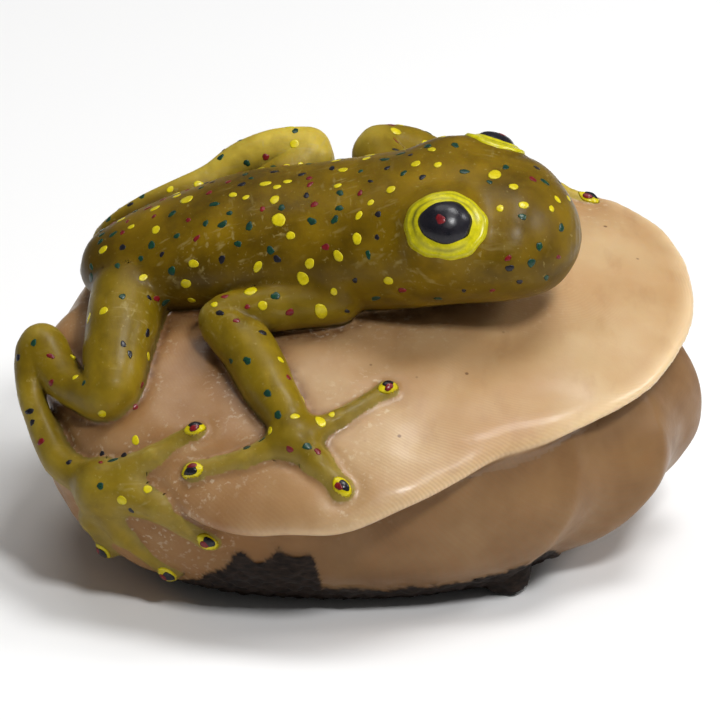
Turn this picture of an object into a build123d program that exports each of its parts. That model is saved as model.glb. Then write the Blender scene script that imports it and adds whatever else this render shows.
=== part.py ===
"""Carved nut figurine: a spotted tree frog crouching on the flared, tilted top of one palm nut.

The real thing is carved from a single vegetable-ivory nut. Its forms are kept here as separate solids,
one per node: the fluted body, the flared top, the dark seed coat left on the underside, the frog's
torso, its four legs, its eyes and pupils, and the painted tips of its toes.

Units are millimetres. +Z is up, +X is the way the frog looks, and the nut rests on Z = 0.
"""

from build123d import *
from math import atan2, cos, pi, radians, sin, sqrt
import os

# ---------------------------------------------------------------- driving dimensions
DOME_RADIUS = 83.0  # the flared top is part of one large sphere
DOME_TOP = 25.9  # height of that sphere's highest point
DOME_LEAN_X, DOME_LEAN_Y = 2.5, 19.0  # where the highest point is, so the top slopes to the front
CAP_THICKNESS = 1.5  # of the flared top, all over
COAT_THICKNESS = 0.5  # of the seed coat
EYEBALL_RADIUS = 4.0
PUPIL_HEIGHT = 0.35  # that the pupil stands above the eyeball
TOE_TIP_RADIUS = 0.95
BONE_START = 0.94  # a bone's first radius, over its station's

# The body's levels: height, then how far it reaches to the right, left, front and back.
BODY_LEVELS = [
    (0.0, 16.5, 17.0, 13.0, 12.0),
    (1.5, 18.6, 20.5, 15.4, 14.8),
    (4.0, 23.6, 24.6, 18.0, 17.6),
    (8.0, 28.1, 27.0, 20.0, 19.6),
    (13.0, 29.5, 27.6, 21.2, 20.4),
    (18.0, 27.6, 26.2, 21.4, 20.2),
    (26.0, 25.5, 23.6, 20.6, 19.0),
]
# How square the levels are, by degrees round from +X: 2 is an ellipse.
BODY_SQUARENESS = [(0, 2.1), (190, 2.1), (215, 2.8), (245, 2.8), (275, 2.1), (360, 2.1)]
RIDGES = [-37, -17, 4, 26, 52, 82, 114, 146]  # degrees round from +X, where two flutes meet
FLUTE_DEPTH = 1.2
LEVEL_POINTS = 60

# The flared top's outline: degrees round from +X, and the distance from the centre.
CAP_OUTLINE = [
    (0, 28.3), (10, 29.0), (19, 29.5), (28, 29.5), (40, 26.7), (52, 23.8), (75, 20.2), (100, 19.6),
    (125, 21.4), (148, 22.6), (161, 22.9), (169, 23.8), (175, 26.7), (187, 28.0), (205, 27.2), (225, 26.0),
    (250, 25.0), (270, 24.4), (285, 23.1), (303, 22.1), (324, 22.9), (345, 25.7),
]

# The torso's sections, from rump to snout: centre, half width, half height.
SPINE = [
    ((-23.6, 5.1, 22.2), 0.8, 0.6),
    ((-22.9, 4.9, 22.5), 2.5, 1.9),
    ((-20.8, 4.5, 22.9), 4.4, 3.2),
    ((-16.2, 3.6, 24.5), 6.0, 4.1),
    ((-9.4, 2.2, 26.5), 7.1, 4.9),
    ((-2.6, 0.8, 27.4), 7.6, 5.5),
    ((3.4, -0.6, 28.6), 8.0, 5.9),
    ((8.5, -1.8, 29.8), 8.4, 5.9),
    ((12.8, -2.9, 30.0), 7.7, 5.3),
    ((15.7, -3.8, 30.1), 6.2, 4.5),
    ((17.6, -4.3, 29.9), 3.8, 2.5),
    ((18.4, -4.5, 29.8), 1.3, 0.9),
]
ROLL = 12.0  # degrees that the frog leans to its right, because the top slopes that way

# The legs: each station is a point and the leg's radius there. The last one is the palm, and the toes
# start from it.
RIGHT_FORELEG = [
    (-2.1, -5.0, 24.4, 2.4), (-7.2, -6.0, 23.8, 2.05), (-11.8, -6.5, 22.8, 1.9), (-9.8, -9.0, 21.5, 2.15),
    (-8.3, -12.8, 20.0, 1.8), (-6.2, -16.3, 17.9, 1.4), (-5.5, -17.8, 17.0, 1.35),
]
RIGHT_FORE_TOES = [
    [(-9.6, -18.6, 15.5, 0.8), (-14.0, -18.7, 14.4, 0.7)],
    [(-3.6, -19.8, 15.8, 1.15), (-1.5, -22.0, 14.4, 0.8)],
    [(-1.8, -15.8, 18.0, 0.8), (2.35, -13.1, 19.4, 0.7)],
]
LEFT_FORELEG = [
    (4.5, 5.0, 28.5, 2.9), (1.7, 12.0, 30.5, 2.0), (4.3, 12.8, 29.9, 2.05), (6.8, 13.6, 28.4, 1.85),
    (10.0, 14.4, 27.2, 1.5), (12.8, 15.0, 26.4, 1.3),
]
LEFT_FORE_TOES = [
    [(17.0, 16.6, 24.9, 0.8), (19.4, 16.2, 24.1, 0.7)],
    [(14.2, 17.2, 25.6, 1.0), (14.8, 18.4, 25.2, 0.8)],
    [(10.6, 17.2, 26.0, 1.0), (8.6, 18.4, 25.8, 0.8)],
]
RIGHT_HIND_LEG = [
    (-19.2, -0.4, 22.0, 2.8), (-20.2, -6.2, 19.8, 2.8), (-21.2, -10.2, 17.6, 2.2), (-23.6, -8.5, 17.2, 1.7),
    (-25.7, -5.4, 17.7, 1.85), (-26.9, -3.4, 18.9, 2.1), (-27.8, -6.2, 15.9, 1.3), (-26.8, -8.5, 13.7, 1.35),
    (-25.4, -11.1, 12.0, 1.45), (-21.8, -15.4, 11.5, 1.9),
]
RIGHT_HIND_TOES = [
    [(-17.4, -16.1, 14.5, 0.9), (-13.8, -15.3, 16.6, 0.7)],
    [(-16.9, -18.3, 11.1, 1.15), (-12.7, -18.9, 8.3, 0.8)],
    [(-19.8, -15.7, 7.4, 1.2), (-16.0, -15.3, 3.8, 0.8)],
    [(-22.4, -13.7, 7.9, 1.2), (-21.2, -12.5, 4.6, 0.8)],
]
LEFT_HIND_LEG = [
    (-12.0, 5.5, 25.6, 2.6), (-4.4, 12.7, 30.0, 2.0), (-7.2, 12.5, 29.9, 1.95), (-9.8, 12.2, 29.2, 1.85),
    (-12.3, 11.4, 27.9, 1.5), (-15.3, 10.2, 27.1, 1.3), (-18.3, 9.6, 25.9, 1.3), (-21.0, 9.2, 23.9, 1.4),
    (-21.0, 13.0, 20.4, 1.6), (-17.6, 15.6, 16.6, 2.0),
]
LEFT_HIND_TOES = [
    [(-12.8, 18.2, 19.4, 1.1), (-8.8, 20.0, 21.6, 0.8)],
    [(-12.6, 18.8, 15.2, 1.1), (-8.2, 20.4, 13.8, 0.9)],
    [(-15.6, 17.0, 12.6, 1.1), (-13.0, 18.2, 9.4, 0.9)],
    [(-20.8, 14.0, 13.4, 1.1), (-21.4, 13.6, 9.8, 0.9)],
]

# The eyes: where the eyeball's centre is, the way it looks, and the pupil's radius.
RIGHT_EYE = (Vector(7.25, -6.8, 31.0), Vector(-0.03, -0.766, 0.643).normalized(), 2.3)
LEFT_EYE = (Vector(10.4, 2.3, 31.6), Vector(0.31, 0.40, 0.86).normalized(), 1.8)

# The seed coat's ragged upper edge, seen from the front: across, and height.
COAT_EDGE = [
    (-24.0, 0.9), (-17.0, 1.2), (-14.6, 2.4), (-13.4, 3.4), (-12.0, 5.0), (-10.4, 6.8), (-7.4, 6.9), (-5.6, 7.3),
    (-4.2, 7.9), (-3.7, 6.0), (-3.2, 3.2), (-0.8, 2.8), (3.4, 2.6), (6.4, 2.8), (9.2, 2.6), (11.4, 3.3),
    (12.8, 4.0), (15.2, 4.2), (16.4, 3.2), (17.2, 1.4), (24.0, 0.9),
]


# ---------------------------------------------------------------- construction helpers
def level_points(right, left, front, back):
    """One level of the body: four quarter ellipses, scooped between the ridges."""
    points = []
    for i in range(LEVEL_POINTS):
        angle = 360 * i / LEVEL_POINTS
        c, s = cos(radians(angle)), sin(radians(angle))
        reach_x = right if c > 0 else left
        reach_y = back if s > 0 else front
        power = squareness(angle)
        radius = (abs(c / reach_x) ** power + abs(s / reach_y) ** power) ** (-1 / power)
        radius -= flute(angle)
        points.append((radius * c, radius * s))
    return points


def squareness(angle):
    """How square the levels are at this angle, straight in between the angles that are given."""
    for (low, before), (high, after) in zip(BODY_SQUARENESS, BODY_SQUARENESS[1:]):
        if angle <= high:
            return before + (after - before) * (angle - low) / (high - low)


def flute(angle):
    """How far the surface is scooped in at this angle. It is nothing on a ridge and past the last one."""
    turned = angle - 360 if angle > 180 else angle
    for low, high in zip(RIDGES, RIDGES[1:]):
        if low <= turned <= high:
            return FLUTE_DEPTH * sin(radians(180 * (turned - low) / (high - low))) ** 2
    return 0.0


def dome(thickness=0.0):
    """The large ball whose skin is the flared top, less a thickness."""
    with BuildPart() as ball:
        with Locations((DOME_LEAN_X, DOME_LEAN_Y, DOME_TOP - DOME_RADIUS)):
            Sphere(DOME_RADIUS - thickness)
    return ball.part


def bone(start, end):
    """A tapered rod with round ends, revolved about the line from one station to the next."""
    a, b = Vector(*start[:3]), Vector(*end[:3])
    ra, rb = start[3], end[3]
    length = (b - a).length
    lean = (ra - rb) / length
    square = sqrt(1 - lean * lean)
    along = (b - a).normalized()
    side = along.cross(Vector(0, 0, 1) if abs(along.Z) < 0.9 else Vector(1, 0, 0)).normalized()
    turn = atan2(square, lean)
    foot, head = (-ra, 0), (length + rb, 0)
    foot_end, head_end = (ra * lean, ra * square), (length + rb * lean, rb * square)
    foot_middle = (ra * cos((turn + pi) / 2), ra * sin((turn + pi) / 2))
    head_middle = (length + rb * cos(turn / 2), rb * sin(turn / 2))
    with BuildPart() as rod:
        with BuildSketch(Plane(origin=a, x_dir=along, z_dir=side)):
            with BuildLine():
                ThreePointArc(foot, foot_middle, foot_end)
                Line(foot_end, head_end)
                ThreePointArc(head_end, head_middle, head)
                Line(head, foot)
            make_face()
        revolve(axis=Axis(a, along))
    return rod.part


def limb(leg, toes, *trims):
    """A leg and its toes as one solid, trimmed where it meets the torso and the nut.

    Each bone starts a little slimmer than the one before it ends, so its round end is buried.
    """
    with BuildPart() as built:
        for stations in [leg, *[[leg[-1], *toe] for toe in toes]]:
            for (x, y, z, radius), end in zip(stations, stations[1:]):
                add(bone((x, y, z, radius * BONE_START), end))
        for other in trims:
            add(other, mode=Mode.SUBTRACT)
    return built.part


def toe_tips(toes, *trims):
    """The swollen tips of a foot's toes, one solid each."""
    with BuildPart() as built:
        for toe in toes:
            x, y, z, radius = toe[-1]
            last = Vector(x, y, z)
            ahead = (last - Vector(*toe[-2][:3])).normalized()
            tip = last + ahead * 0.5
            add(bone((x, y, z, TOE_TIP_RADIUS), (tip.X, tip.Y, tip.Z, TOE_TIP_RADIUS * 0.9)))
        for other in trims:
            add(other, mode=Mode.SUBTRACT)
    return built.part


def eyeball(place, trim):
    """The swelling of the head that carries the pupil."""
    centre = place[0]
    with BuildPart() as ball:
        with Locations(centre):
            Sphere(EYEBALL_RADIUS)
        add(trim, mode=Mode.SUBTRACT)
    return ball.part


def pupil(place):
    """The black cap on an eyeball, standing a little proud of it."""
    centre, looks, radius = place
    outside = EYEBALL_RADIUS + PUPIL_HEIGHT
    with BuildPart() as bead:
        with Locations(Plane(origin=centre, z_dir=looks)):
            Cylinder(radius, outside, align=(Align.CENTER, Align.CENTER, Align.MIN))
            Sphere(outside, mode=Mode.INTERSECT)
            Sphere(EYEBALL_RADIUS, mode=Mode.SUBTRACT)
    return bead.part


# ---------------------------------------------------------------- the nut
def fluted_body(inset=0.0):
    """The nut's side and underside, lofted through its levels, with every wall moved in by an inset."""
    with BuildPart() as built:
        for height, *reaches in BODY_LEVELS:
            with BuildSketch(Plane.XY.offset(max(height, inset))):
                with BuildLine():
                    Spline(*level_points(*[reach - inset for reach in reaches]), periodic=True)
                make_face()
        loft()
    return built.part


with BuildPart() as nut_cap:
    with BuildSketch(Plane.XY):
        with BuildLine():
            Spline(*[(r * cos(radians(a)), r * sin(radians(a))) for a, r in CAP_OUTLINE], periodic=True)
        make_face()
    extrude(amount=DOME_TOP + 5)
    add(dome(), mode=Mode.INTERSECT)
    add(dome(CAP_THICKNESS), mode=Mode.SUBTRACT)

with BuildPart() as seed_coat:
    with BuildSketch(Plane.XZ.offset(-30)):
        with BuildLine():
            Polyline((-24, -1), *COAT_EDGE, (24, -1), close=True)
        make_face()
    extrude(amount=60)
    add(fluted_body(), mode=Mode.INTERSECT)
    add(fluted_body(COAT_THICKNESS), mode=Mode.SUBTRACT)

with BuildPart() as nut_body:
    add(fluted_body())
    add(dome(CAP_THICKNESS), mode=Mode.INTERSECT)
    add(seed_coat.part, mode=Mode.SUBTRACT)

# ---------------------------------------------------------------- the frog
with BuildPart() as torso:
    heading = (Vector(*SPINE[7][0]) - Vector(*SPINE[2][0])).normalized()
    level_side = Vector(0, 0, 1).cross(heading).normalized()
    side = level_side.rotate(Axis((0, 0, 0), heading), ROLL)
    for centre, half_width, half_height in SPINE:
        with BuildSketch(Plane(origin=centre, x_dir=side, z_dir=heading)):
            Ellipse(half_width, half_height)
    loft()
    add(nut_cap.part, mode=Mode.SUBTRACT)
    add(nut_body.part, mode=Mode.SUBTRACT)

nut = (nut_cap.part, nut_body.part)
right_eye = eyeball(RIGHT_EYE, torso.part)
left_eye = eyeball(LEFT_EYE, torso.part)
right_foreleg = limb(RIGHT_FORELEG, RIGHT_FORE_TOES, torso.part, *nut)
left_foreleg = limb(LEFT_FORELEG, LEFT_FORE_TOES, torso.part, *nut)
right_hind_leg = limb(RIGHT_HIND_LEG, RIGHT_HIND_TOES, torso.part, *nut)
left_hind_leg = limb(LEFT_HIND_LEG, LEFT_HIND_TOES, torso.part, *nut)

nodes = {
    "nut_body": nut_body.part,
    "nut_cap": nut_cap.part,
    "seed_coat": seed_coat.part,
    "torso": torso.part,
    "right_eye": right_eye,
    "left_eye": left_eye,
    "right_pupil": pupil(RIGHT_EYE),
    "left_pupil": pupil(LEFT_EYE),
    "right_foreleg": right_foreleg,
    "left_foreleg": left_foreleg,
    "right_hind_leg": right_hind_leg,
    "left_hind_leg": left_hind_leg,
    "right_fore_toe_tips": toe_tips(RIGHT_FORE_TOES, right_foreleg, *nut),
    "left_fore_toe_tips": toe_tips(LEFT_FORE_TOES, left_foreleg, *nut),
    "right_hind_toe_tips": toe_tips(RIGHT_HIND_TOES, right_hind_leg, *nut),
    "left_hind_toe_tips": toe_tips(LEFT_HIND_TOES, left_hind_leg, *nut),
}
os.makedirs("parts", exist_ok=True)
for name, part in nodes.items():
    part.label = name
    export_step(part, f"parts/{name}.step")
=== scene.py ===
"""Carved palm nut with a spotted tree frog crouching on its flared, tilted top.

The whole carving is sculpted as one smooth solid on a grid and then cut into pieces, one per CAD node,
whose shared walls meet exactly. The painted eyes, toe marks and spots are thin films laid on top.
Sizes in this script are in millimetres until a mesh is made. The places are those of the CAD model.
"""

from functools import cache
from math import cos, exp, pi, radians, sin

import bpy
import numpy as np
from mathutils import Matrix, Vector
from mathutils.bvhtree import BVHTree


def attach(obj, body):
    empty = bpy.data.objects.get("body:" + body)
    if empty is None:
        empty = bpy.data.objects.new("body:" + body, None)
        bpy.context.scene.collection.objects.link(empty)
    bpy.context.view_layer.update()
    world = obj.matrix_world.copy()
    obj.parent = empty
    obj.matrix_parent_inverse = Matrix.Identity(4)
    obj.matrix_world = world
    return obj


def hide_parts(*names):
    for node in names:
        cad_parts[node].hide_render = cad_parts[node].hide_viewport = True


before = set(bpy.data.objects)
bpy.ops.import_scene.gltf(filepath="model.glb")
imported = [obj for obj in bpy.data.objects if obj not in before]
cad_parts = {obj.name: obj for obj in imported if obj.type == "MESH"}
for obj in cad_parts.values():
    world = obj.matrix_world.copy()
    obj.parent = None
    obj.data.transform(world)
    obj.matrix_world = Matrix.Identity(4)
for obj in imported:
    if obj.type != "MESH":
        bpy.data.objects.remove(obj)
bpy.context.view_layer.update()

MM = 0.001
STEP = 0.28  # grid spacing
FAR = 9.0  # the distance that stands for "nowhere near"

# ------------ the nut's driving dimensions
DOME_RADIUS = 83.0
DOME_CENTRE = (2.5, 19.0, 25.9 - DOME_RADIUS)
BODY_LEVELS = np.array([  # height, then reach to the right, left, front and back
    (0.0, 16.5, 17.0, 13.0, 12.0),
    (1.5, 18.6, 20.5, 15.4, 14.8),
    (4.0, 23.6, 24.6, 18.0, 17.6),
    (8.0, 28.1, 27.0, 20.0, 19.6),
    (13.0, 29.5, 27.6, 21.2, 20.4),
    (18.0, 27.6, 26.2, 21.4, 20.2),
    (26.0, 25.5, 23.6, 20.6, 19.0),
])
# The power of the side's rounded outline by angle: 2 is an ellipse, more is squarer.
BODY_SQUARENESS = np.array([(0, 2.1), (190, 2.1), (215, 2.8), (245, 2.8), (275, 2.1), (360, 2.1)])
RIDGES = [-41, -20, 3, 26, 52, 82, 114, 146]  # the angles of the side's crests
FLUTE_DEPTH = 1.5
FLUTE_POWER = 1.25  # how sharp the crests between flutes are
RIDGE_LEAN = 0.9  # degrees that a ridge turns for each mm of height
RIDGE_LEVEL = 10.0  # the height where a ridge is at its own angle
# The rim of the flared top: angle and reach.
CAP_OUTLINE = np.array([
    (0, 28.2), (10, 29.0), (19, 29.5), (28, 29.5), (40, 26.7), (52, 23.8), (75, 20.2), (100, 19.6),
    (125, 21.4), (148, 22.6), (161, 22.9), (169, 23.8), (175, 26.7), (187, 28.0), (205, 27.2), (225, 26.0),
    (250, 25.0), (270, 24.4), (285, 23.1), (303, 22.3), (324, 24.0), (345, 26.6), (360, 28.2),
])
# The rim by angle: the lip's thickness, and how softly the top rolls over into it.
LIP = np.array([
    (0, 0.6, 0.9), (150, 1.0, 1.2), (175, 1.6, 3.0), (200, 2.6, 6.0), (250, 3.0, 6.0), (272, 1.8, 4.0),
    (290, 1.3, 3.2), (305, 0.9, 2.4), (320, 0.6, 1.6), (340, 0.5, 1.0), (360, 0.6, 0.9),
])
LIP_WEDGE = 0.6  # how much thicker the lip gets for each mm inside the rim
LIP_EDGE = 0.4  # the rounding of the lip's edge
LIP_TO_SIDE = 1.0  # how softly the lip runs into the side
# How deep the top's own piece goes, and how much deeper where the rim is rolled.
CAP_DEPTH, CAP_ROLL_SHARE = 1.5, 0.45
# The groove under the lip by angle: how far it is cut in.
UNDERCUT = np.array([
    (0, 1.4), (90, 0.8), (170, 0.5), (200, 0.0), (256, 0.0), (274, 1.3), (290, 2.1), (308, 2.4), (324, 3.6),
    (345, 3.4), (360, 1.4),
])
UNDERCUT_LEVEL, UNDERCUT_WIDTH = 0.8, 4.2  # how far below the lip it is deepest, and how far it spreads
# The upper edge of the seed coat: place from left to right, and height.
COAT_EDGE = np.array([
    (-24.0, 0.9), (-17.0, 1.2), (-14.6, 2.4), (-13.4, 3.4), (-12.0, 5.0), (-10.4, 6.8), (-7.4, 6.9),
    (-5.6, 7.3), (-4.2, 7.9), (-3.7, 6.0), (-3.2, 3.2), (-0.8, 2.8), (3.4, 2.6), (6.4, 2.8), (9.2, 2.6),
    (11.4, 3.3), (12.8, 4.0), (15.2, 4.2), (16.4, 3.2), (17.2, 1.4), (24.0, 0.9),
])
COAT_DEPTH = 0.55
COAT_RISE = 0.28  # how far the coat stands out from the side
COAT_KNOB = (12.4, -11.3, 1.5, 2.1)  # a lump of seed coat low at the front: centre and radius
KNOB_BLEND = 1.6
FOOT_EDGE = 0.7  # the rounding where the side meets the flat underside

# ------------ the frog's driving dimensions
SPINE = [  # centre, half width, half height
    ((-23.6, 5.1, 22.2), 0.8, 0.6),
    ((-22.9, 4.9, 22.5), 2.5, 1.9),
    ((-20.8, 4.5, 22.9), 4.4, 3.2),
    ((-16.2, 3.6, 24.5), 6.0, 4.1),
    ((-9.4, 2.2, 26.5), 7.1, 4.9),
    ((-2.6, 0.8, 27.4), 7.6, 5.5),
    ((3.4, -0.6, 28.6), 8.0, 5.9),
    ((8.5, -1.8, 29.8), 8.4, 5.9),
    ((12.8, -2.9, 30.0), 7.7, 5.3),
    ((15.7, -3.8, 30.1), 6.2, 4.5),
    ((17.6, -4.3, 29.9), 3.8, 2.5),
    ((18.4, -4.5, 29.8), 1.3, 0.9),
]
ROLL = 12.0  # degrees that the trunk leans to its right
EYEBALL_RADIUS = 4.0
EYE_CLEAR = 5.1  # no spot lies nearer than this to an eye's centre
EYES = {  # centre, looking direction, reach of the ring along and across the head, and of the pupil
    "right": ((7.25, -6.8, 31.0), (-0.03, -0.766, 0.643), (3.45, 3.1), (2.3, 1.95)),
    "left": ((10.4, 2.3, 31.6), (0.31, 0.40, 0.86), (2.75, 2.75), (1.85, 1.75)),
}
BROW = ((7.9, 1.8, 32.4, 3.0), (9.6, 2.2, 32.2, 3.0))  # the swelling behind the left eye
FURROW_DEPTH, FURROW_WIDTH = 0.22, 0.9  # the groove cut into the nut along the frog
# How softly one shape runs into the next, in mm.
BROW_BLEND, EYE_BLEND, LEG_BLEND, NUT_BLEND = 2.0, 0.8, 0.9, 0.7
PALM_BLEND, TOE_BLEND, PAD_BLEND = 1.3, 0.6, 0.4
LEGS = {  # stations, each a centre and a radius; the last is the palm
    "right_foreleg": [
        (-2.1, -5.0, 24.4, 2.4), (-7.2, -6.0, 23.8, 2.05), (-11.8, -6.5, 22.8, 1.9),
        (-9.5, -9.0, 21.5, 2.35), (-7.8, -12.8, 19.9, 2.2), (-5.9, -16.3, 17.9, 1.65),
        (-5.5, -17.6, 16.9, 1.35),
    ],
    "left_foreleg": [
        (4.5, 5.0, 28.5, 2.9), (1.7, 12.0, 30.5, 2.0), (4.3, 12.8, 29.9, 2.05),
        (6.8, 13.6, 28.4, 1.85), (10.0, 14.4, 27.2, 1.5), (12.8, 15.0, 26.4, 1.3),
    ],
    "right_hind_leg": [
        (-19.6, -0.4, 22.0, 3.3), (-20.6, -6.2, 19.8, 2.9), (-21.3, -10.2, 17.6, 2.2),
        (-23.6, -8.2, 17.0, 1.7), (-25.7, -5.2, 17.5, 1.85), (-26.9, -3.2, 18.8, 2.1),
        (-27.8, -6.0, 15.8, 1.2), (-26.8, -8.3, 13.6, 1.3), (-25.4, -10.9, 11.9, 1.4),
        (-21.8, -14.9, 11.3, 1.6),
    ],
    "left_hind_leg": [
        (-12.0, 5.5, 25.6, 2.6), (-4.4, 12.7, 30.0, 2.0), (-7.2, 12.5, 29.9, 1.95),
        (-9.8, 12.2, 29.2, 1.85), (-12.3, 11.4, 27.9, 1.5), (-15.3, 10.2, 27.1, 1.25),
        (-18.3, 9.6, 25.9, 1.2), (-21.0, 9.2, 23.9, 1.3), (-21.0, 13.0, 20.4, 1.6),
        (-17.6, 15.6, 16.6, 2.0),
    ],
}
TOES = {  # each toe's middle and tip
    "right_foreleg": [
        ((-9.6, -18.3, 15.4, 0.75), (-14.0, -18.2, 14.2, 0.6)),
        ((-3.6, -19.6, 15.7, 1.15), (-1.5, -21.7, 14.2, 0.8)),
        ((-1.8, -15.8, 18.0, 0.75), (2.35, -13.1, 19.4, 0.6)),
    ],
    "left_foreleg": [
        ((17.0, 16.4, 24.6, 0.6), (19.6, 15.8, 23.8, 0.45)),
        ((14.2, 17.2, 25.6, 1.0), (14.8, 18.4, 25.2, 0.8)),
        ((10.6, 17.2, 26.0, 1.0), (8.6, 18.4, 25.8, 0.8)),
    ],
    "right_hind_leg": [
        ((-17.4, -16.0, 14.5, 0.85), (-13.8, -15.3, 16.6, 0.55)),
        ((-16.9, -18.1, 11.0, 1.15), (-12.7, -18.9, 8.3, 0.8)),
        ((-19.8, -15.7, 7.4, 1.2), (-16.0, -15.3, 3.8, 0.8)),
        ((-22.4, -13.7, 7.9, 1.2), (-21.2, -12.5, 4.6, 0.8)),
    ],
    "left_hind_leg": [
        ((-12.8, 18.2, 19.4, 1.1), (-8.8, 20.0, 21.6, 0.8)),
        ((-12.6, 18.8, 15.2, 1.1), (-8.2, 20.4, 13.8, 0.9)),
        ((-15.6, 17.0, 12.6, 1.1), (-13.0, 18.2, 9.4, 0.9)),
        ((-20.8, 14.0, 13.4, 1.1), (-21.4, 13.6, 9.8, 0.9)),
    ],
}
# Muscles, tendons and webs: two stations and how far each is blended in.
LEG_DETAILS = {
    "right_foreleg": [
        ((-10.9, -8.2, 23.4, 1.0), (-7.0, -15.8, 19.0, 0.8), 0.5),
        ((-9.2, -8.6, 22.6, 1.0), (-6.6, -15.0, 19.0, 0.7), 0.5),
    ],
    "right_hind_leg": [
        ((-21.2, -14.4, 9.8, 1.3), (-20.6, -13.8, 6.8, 0.9), 1.3),
        ((-19.8, -16.0, 12.2, 1.1), (-18.0, -16.9, 11.6, 0.9), 1.2),
    ],
}
PAD = 0.2  # how much wider a toe's pad is than its tip
TOE_TIP_NODES = {leg: leg.removesuffix("leg").rstrip("_") + "_toe_tips" for leg in LEGS}

LABEL = {name: i + 1 for i, name in enumerate(["nut_body", "nut_cap", "seed_coat", "torso", *LEGS])}

# ------------ the grid
LOW = np.array((-31.5, -27.0, -0.6))
HIGH = np.array((31.0, 23.5, 37.6))
COUNT = np.ceil((HIGH - LOW) / STEP).astype(int) + 1
AXES = [(LOW[i] + STEP * np.arange(COUNT[i])).astype(np.float32) for i in range(3)]
X, Y, Z = AXES[0][:, None, None], AXES[1][None, :, None], AXES[2][None, None, :]


def curve(x, points_x, points_y):
    """A smooth curve through the points, with slopes taken from their neighbours."""
    slopes = np.gradient(points_y, points_x)
    i = np.clip(np.searchsorted(points_x, x) - 1, 0, len(points_x) - 2)
    width = points_x[i + 1] - points_x[i]
    t = np.clip((x - points_x[i]) / width, 0, 1)
    start = points_y[i] * (1 + 2 * t) * (1 - t) ** 2 + slopes[i] * width * t * (1 - t) ** 2
    end = points_y[i + 1] * t * t * (3 - 2 * t) - slopes[i + 1] * width * t * t * (1 - t)
    return start + end


def soft_min(a, b, k):
    """The nearer of two distances, with their meeting rounded over k mm."""
    h = np.maximum(k - np.abs(a - b), 0) / k
    return np.minimum(a, b) - h * h * k / 4


def soft_max(a, b, k):
    """The farther of two distances, with their meeting rounded over k mm."""
    return -soft_min(-a, -b, k)


def step_between(x, low, high):
    """0 below the low value, 1 above the high one, with an easy slope in between."""
    t = np.clip((x - low) / (high - low), 0, 1)
    return t * t * (3 - 2 * t)


def waves(x, y, z, length, seed, octaves=3):
    """Smooth wandering noise, about -1 to 1, with the given wave length."""
    random = np.random.RandomState(seed)
    total, weight = 0.0, 1.0
    for _ in range(octaves):
        layer = 0.0
        for _ in range(4):
            way = random.normal(size=3)
            way *= 2 * pi / length / np.linalg.norm(way)
            layer = layer + np.sin(way[0] * x + way[1] * y + way[2] * z + random.uniform(0, 2 * pi))
        total = total + weight * layer / 2.5
        weight *= 0.5
        length *= 0.5
    return total


def around(points, margin):
    """The part of the grid within a margin of some points, as slices."""
    points = np.array(points)
    low = np.floor((points.min(0) - margin - LOW) / STEP).astype(int)
    high = np.ceil((points.max(0) + margin - LOW) / STEP).astype(int) + 1
    return tuple(slice(max(a, 0), max(min(b, n), 0)) for a, b, n in zip(low, high, COUNT))


def rod(x, y, z, start, end):
    """The distance to a tapered rod with round ends."""
    a, b = np.array(start[:3]), np.array(end[:3])
    along = b - a
    length2 = float(along @ along)
    taper = start[3] - end[3]
    slope = length2 - taper * taper
    px, py, pz = x - a[0], y - a[1], z - a[2]
    t = px * along[0] + py * along[1] + pz * along[2]
    beyond = t - length2
    cross = sum((p * length2 - w * t) ** 2 for p, w in ((px, along[0]), (py, along[1]), (pz, along[2])))
    start2, end2 = t * t * length2, beyond * beyond * length2
    k = np.sign(taper) * taper * taper * cross
    at_end = np.sqrt(cross + end2) / length2 - end[3]
    at_start = np.sqrt(cross + start2) / length2 - start[3]
    between = (np.sqrt(cross * slope / length2) + t * taper) / length2 - start[3]
    return np.where(np.sign(beyond) * slope * end2 > k, at_end,
                    np.where(np.sign(t) * slope * start2 < k, at_start, between))


def ball(x, y, z, centre, radius):
    return np.sqrt((x - centre[0]) ** 2 + (y - centre[1]) ** 2 + (z - centre[2]) ** 2) - radius


# ------------ the nut
def flute(angle):
    """How far the side is scooped in at this angle, with a crest left at each ridge."""
    depth = np.zeros_like(angle)
    for low, high in zip(RIDGES, RIDGES[1:]):
        turned = np.where(angle > high + 180, angle - 360, angle)
        inside = (turned >= low) & (turned <= high)
        hollow = np.sin(pi * (turned[inside] - low) / (high - low))
        depth[inside] = FLUTE_DEPTH * np.maximum(hollow, 0) ** FLUTE_POWER
    return depth


def by_angle(angle, table, column=1):
    """A table's value at each angle, in straight steps between its rows."""
    return np.interp(angle % 360, table[:, 0], table[:, column])


def coat_edge(x, y, z):
    """How far the seed coat's ragged edge is above this point: positive inside the coat."""
    ragged = 0.45 * waves(x, y, z, 3.1, 11, 2) + 0.2 * waves(x, y, z, 0.9, 12, 2)
    return np.interp(x, COAT_EDGE[:, 0], COAT_EDGE[:, 1]) + ragged - z


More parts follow.
